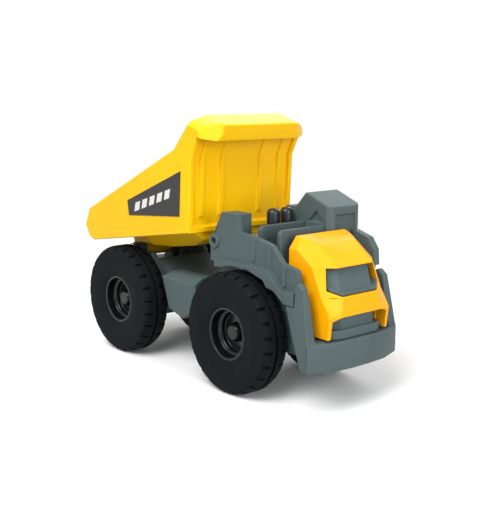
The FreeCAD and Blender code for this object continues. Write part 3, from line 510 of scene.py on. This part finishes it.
@dataclass
class WheelSet:
    """An axle with a rim and a tyre at each end."""

    row: str
    body: Body
    lug_round_mm: float = 0.12
    rim_round_mm: float = 0.25

    def build(self, materials: dict[Slot, bpy.types.Material]) -> None:
        """Dress the axle, rims and tyres.

        Args:
            materials: the materials by slot.
        """
        for side in Side:
            tail = f"{self.row}_{side.name.lower()}"
            MouldedPart(f"tyre_{tail}", self.body, Slot.TYRE, self.lug_round_mm, 2, 24.0).build(materials)
            MouldedPart(f"rim_{tail}", self.body, Slot.RIM, self.rim_round_mm, 3, 24.0).build(materials)
        MouldedPart(f"{self.row}_axle", self.body, Slot.STEEL, 0.2, 2).build(materials)


@dataclass
class LowerFrame:
    """The chassis with its base plates, screws and hinge pin."""

    chassis_round_mm: float = 0.5
    plate_round_mm: float = 0.25
    screw_round_mm: float = 0.08

    def build(self, materials: dict[Slot, bpy.types.Material]) -> None:
        """Dress the lower frame.

        Args:
            materials: the materials by slot.
        """
        MouldedPart("chassis", Body.TRUCK, Slot.GREY, self.chassis_round_mm).build(materials)
        for row in ("front", "rear"):
            MouldedPart(f"{row}_base_plate", Body.TRUCK, Slot.GREY, self.plate_round_mm, 2).build(materials)
        MouldedPart("base_screws", Body.TRUCK, Slot.STEEL, self.screw_round_mm, 2).build(materials)
        MouldedPart("bed_hinge_pin", Body.TRUCK, Slot.STEEL, 0.2, 2).build(materials)


@dataclass
class UpperWorks:
    """The deck, cab, stacks, hood, panels and bumper."""

    deck_round_mm: float = 0.2
    cab_round_mm: float = 0.5
    hood_round_mm: float = 0.3
    panel_round_mm: float = 0.3
    grille_merge_mm: float = 0.2
    bumper_round_mm: float = 0.6

    def build(self, materials: dict[Slot, bpy.types.Material]) -> None:
        """Dress the upper works.

        Args:
            materials: the materials by slot.
        """
        MouldedPart("deck", Body.TRUCK, Slot.GREY, self.deck_round_mm).build(materials)
        MouldedPart("operator_cab", Body.TRUCK, Slot.GREY, self.cab_round_mm).build(materials)
        for side in Side:
            MouldedPart(f"exhaust_stack_{side.name.lower()}", Body.TRUCK, Slot.STACK, 0.2).build(materials)
        MouldedPart("hood", Body.TRUCK, Slot.HOOD, self.hood_round_mm).build(materials)
        MouldedPart(
            "grille_panel", Body.TRUCK, Slot.GREY, self.panel_round_mm, merge_mm=self.grille_merge_mm
        ).build(materials)
        MouldedPart("radiator_panel", Body.TRUCK, Slot.GREY, self.panel_round_mm).build(materials)
        MouldedPart("front_bumper", Body.TRUCK, Slot.GREY, self.bumper_round_mm).build(materials)


@dataclass
class TippingBed:
    """The dump bed with its two printed labels."""

    bed_round_mm: float = 0.5
    hinge_mm: tuple[float, float] = (-50.0, 38.5)
    rest_deg: float = 9.25
    bar_count: int = 5
    bars_start_mm: tuple[float, float] = (24.3, 14.9)
    bars_end_mm: tuple[float, float] = (49.0, 18.6)
    bar_height_mm: float = 3.2
    bar_lean_mm: float = 1.3
    bar_fill: float = 0.66
    print_thick_mm: float = 0.04

    def build(self, materials: dict[Slot, bpy.types.Material]) -> None:
        """Dress the bed and print its labels.

        Args:
            materials: the materials by slot.
        """
        MouldedPart("dump_bed", Body.BED, Slot.BED, self.bed_round_mm).build(materials)
        white = WHITE_PRINT.make()
        for side in Side:
            label = MouldedPart(f"decal_{side.name.lower()}", Body.BED, Slot.DECAL, 0.08, 2).build(materials)
            self.print_bars(label, side, white, materials)

    def print_bars(
        self,
        label: bpy.types.Object,
        side: Side,
        white: bpy.types.Material,
        materials: dict[Slot, bpy.types.Material],
    ) -> None:
        """Print a row of leaning white bars on one label.

        Args:
            label: the dressed label that carries the bars.
            side: the side that the label is on.
            white: the print's material.
            materials: the materials by slot.
        """
        faces = [side.value * corner.co.y for corner in label.data.vertices]
        face_y = max(faces) * side.value
        bars = []
        for number in range(self.bar_count):
            bars.append(self.bar(number, face_y, side))
        deselect()
        for bar in bars:
            bar.select_set(True)
        bpy.context.view_layer.objects.active = bars[0]
        bpy.ops.object.join()
        row = bars[0]
        row.name = f"label_bars_{side.name.lower()}"
        dress(row, Body.BED, Slot.DECAL, materials)
        row.data.materials.clear()
        row.data.materials.append(white)

    def bar(self, number: int, face_y: float, side: Side) -> bpy.types.Object:
        """One leaning bar, raised a hair from the label's face.

        Args:
            number: the bar's place in the row, from the rear.
            face_y: the label's outer face, in metres.
            side: the side that the label is on.

        Returns:
            The bar, at the origin.
        """
        start = Vector(self.bars_start_mm)
        run = Vector(self.bars_end_mm) - start
        step = run / self.bar_count
        foot = start + step * number
        width = step * self.bar_fill
        lean = Vector((self.bar_lean_mm, 0))
        lift = Vector((0, self.bar_height_mm))
        corners = [foot, foot + width, foot + width + lean + lift, foot + lean + lift]
        turn = Matrix.Rotation(math.radians(self.rest_deg), 2)
        hinge = Vector(self.hinge_mm)
        bpy.ops.mesh.primitive_plane_add(size=1, location=(0, 0, 0))
        bar = bpy.context.object
        settle(bar)
        places = sorted(bar.data.vertices, key=lambda corner: math.atan2(corner.co.y, corner.co.x))
        for corner, spot in zip(places, corners):
            point = (hinge + turn @ spot) * MM
            corner.co = (point.x, face_y, point.y)
        edit(bar, "SELECT")
        bpy.ops.mesh.extrude_region_move(
            TRANSFORM_OT_translate={"value": (0, side.value * self.print_thick_mm * MM, 0)})
        bpy.ops.mesh.select_all(action="SELECT")
        bpy.ops.mesh.normals_make_consistent(inside=False)
        bpy.ops.object.mode_set(mode="OBJECT")
        return bar


@dataclass
class Studio:
    """A pale floor, soft lamps and the camera."""

    camera_mm: tuple[float, float, float] = (249.25, -207.44, 101.99)
    azimuth_deg: float = 49.703
    elevation_deg: float = 10.816
    roll_deg: float = 0.153
    near_clip_m: float = 0.01
    focal_px: float = 889.54
    long_side_px: float = 519.0
    sensor_mm: float = 36.0
    floor_mm: float = 3000.0
    floor_white: str = "#FFFFFF"
    floor_grey: str = "#8E9293"
    fade_from_mm: float = 150.0
    fade_to_mm: float = 420.0
    floor_drop_mm: float = 0.02
    room_strength: float = 0.5
    lamp_aim_mm: float = 40.0
    lamps: tuple[tuple[str, tuple[float, float, float], float, float], ...] = field(
        default=(
            ("key_lamp", (140.0, -390.0, 494.0), 420.0, 4.0),
            ("front_lamp", (520.0, -60.0, 150.0), 300.0, 1.5),
            ("rear_lamp", (-320.0, 360.0, 460.0), 420.0, 1.2),
        )
    )

    def build(self) -> None:
        """Set the floor, the world, the lamps and the camera."""
        self.floor()
        self.world()
        for name, place_mm, width_mm, power in self.lamps:
            self.lamp(name, Vector(place_mm) * MM, width_mm * MM, power)
        self.camera()

    def seen_rays(self, tree: bpy.types.NodeTree) -> bpy.types.NodeSocket:
        """Rays that show the backdrop: from the camera, or by way of a reflection or glass.

        Args:
            tree: the node tree that needs them.

        Returns:
            A socket that is 1 on those rays and 0 on the light that falls on the truck.
        """
        path = add_node(tree, "ShaderNodeLightPath").outputs
        mirrored = add_node(
            tree, "ShaderNodeMath", settings={"operation": "MAXIMUM"},
            links={0: path["Is Glossy Ray"], 1: path["Is Transmission Ray"]},
        ).outputs["Value"]
        return add_node(
            tree, "ShaderNodeMath", settings={"operation": "MAXIMUM"},
            links={0: path["Is Camera Ray"], 1: mirrored},
        ).outputs["Value"]

    def floor(self) -> None:
        """Lay a white floor that keeps the truck's shadow and fades into the white room.

        Its back is clear, so that the truck's underside can be looked at.
        """
        deselect()
        bpy.ops.mesh.primitive_plane_add(size=self.floor_mm * MM, location=(0, 0, -self.floor_drop_mm * MM))
        floor = bpy.context.object
        floor.name = "floor"
        settle(floor)
        material = bpy.data.materials.new("white_paper")
        material.use_nodes = True
        tree = material.node_tree
        tree.nodes.clear()
        seen = self.seen_rays(tree)
        colour = add_node(
            tree, "ShaderNodeMix", settings={"data_type": "RGBA"},
            values={6: linear(self.floor_grey), 7: linear(self.floor_white)}, links={0: seen},
        ).outputs[2]
        paper = add_node(tree, "ShaderNodeBsdfDiffuse", links={"Color": colour}).outputs["BSDF"]
        room = add_node(tree, "ShaderNodeEmission", values={"Color": linear("#FFFFFF"), "Strength": 1.0})
        place = add_node(tree, "ShaderNodeTexCoord").outputs["Object"]
        far = add_node(
            tree, "ShaderNodeVectorMath", settings={"operation": "LENGTH"}, links={0: place}
        ).outputs["Value"]
        fade = add_node(
            tree, "ShaderNodeMapRange", settings={"interpolation_type": "SMOOTHSTEP"},
            values={"From Min": self.fade_from_mm * MM, "From Max": self.fade_to_mm * MM},
            links={"Value": far},
        ).outputs["Result"]
        share = add_node(
            tree, "ShaderNodeMath", settings={"operation": "MULTIPLY"}, links={0: fade, 1: seen}
        ).outputs["Value"]
        surface = add_node(
            tree, "ShaderNodeMixShader", links={0: share, 1: paper, 2: room.outputs["Emission"]}
        ).outputs["Shader"]
        below = add_node(tree, "ShaderNodeNewGeometry").outputs["Backfacing"]
        clear = add_node(tree, "ShaderNodeBsdfTransparent").outputs["BSDF"]
        open_below = add_node(
            tree, "ShaderNodeMixShader", links={0: below, 1: surface, 2: clear}
        ).outputs["Shader"]
        add_node(tree, "ShaderNodeOutputMaterial", links={"Surface": open_below})
        floor.data.materials.append(material)

    def world(self) -> None:
        """Surround the truck with even white light."""
        world = bpy.data.worlds.new("white_room")
        bpy.context.scene.world = world
        world.use_nodes = True
        tree = world.node_tree
        tree.nodes.clear()
        strength = add_node(
            tree, "ShaderNodeMapRange", values={"To Min": self.room_strength, "To Max": 1.0},
            links={"Value": self.seen_rays(tree)},
        ).outputs["Result"]
        light = add_node(
            tree, "ShaderNodeBackground", values={"Color": linear("#FFFFFF")}, links={"Strength": strength}
        )
        add_node(tree, "ShaderNodeOutputWorld", links={"Surface": light.outputs["Background"]})

    def lamp(self, name: str, place: Vector, width: float, power: float) -> None:
        """Hang one soft lamp that faces the truck.

        Args:
            name: the lamp's name.
            place: where it hangs, in metres.
            width: its width, in metres.
            power: its power in watts.
        """
        data = bpy.data.lights.new(name, "AREA")
        data.size = width
        data.energy = power
        lamp = bpy.data.objects.new(name, data)
        bpy.context.scene.collection.objects.link(lamp)
        lamp.location = place
        aim = Vector((0, 0, self.lamp_aim_mm * MM)) - place
        lamp.rotation_euler = aim.to_track_quat("-Z", "Y").to_euler()

    def camera(self) -> None:
        """Place the camera at the photograph's angle."""
        data = bpy.data.cameras.new("camera")
        data.sensor_width = self.sensor_mm
        data.sensor_fit = "AUTO"
        data.lens = self.focal_px / self.long_side_px * self.sensor_mm
        data.clip_start = self.near_clip_m
        camera = bpy.data.objects.new("camera", data)
        bpy.context.scene.collection.objects.link(camera)
        bpy.context.scene.camera = camera
        azimuth = math.radians(self.azimuth_deg)
        elevation = math.radians(self.elevation_deg)
        roll = math.radians(self.roll_deg)
        back = Vector((
            math.sin(azimuth) * math.cos(elevation),
            -math.cos(azimuth) * math.cos(elevation),
            math.sin(elevation),
        ))
        level = Vector((math.cos(azimuth), math.sin(azimuth), 0))
        upright = back.cross(level)
        right = level * math.cos(roll) + upright * math.sin(roll)
        up = upright * math.cos(roll) - level * math.sin(roll)
        turn = Matrix((right, up, back)).transposed().to_4x4()
        camera.matrix_world = Matrix.Translation(Vector(self.camera_mm) * MM) @ turn


def main() -> None:
    """Build the truck's sub-assemblies in order and set the studio."""
    bpy.context.scene.view_settings.view_transform = "Standard"
    materials = {slot: finish.make() for slot, finish in FINISHES.items()}
    WheelSet("front", Body.FRONT_WHEELS).build(materials)
    WheelSet("rear", Body.REAR_WHEELS).build(materials)
    LowerFrame().build(materials)
    UpperWorks().build(materials)
    TippingBed().build(materials)
    Studio().build()


if __name__ == "__main__":
    main()
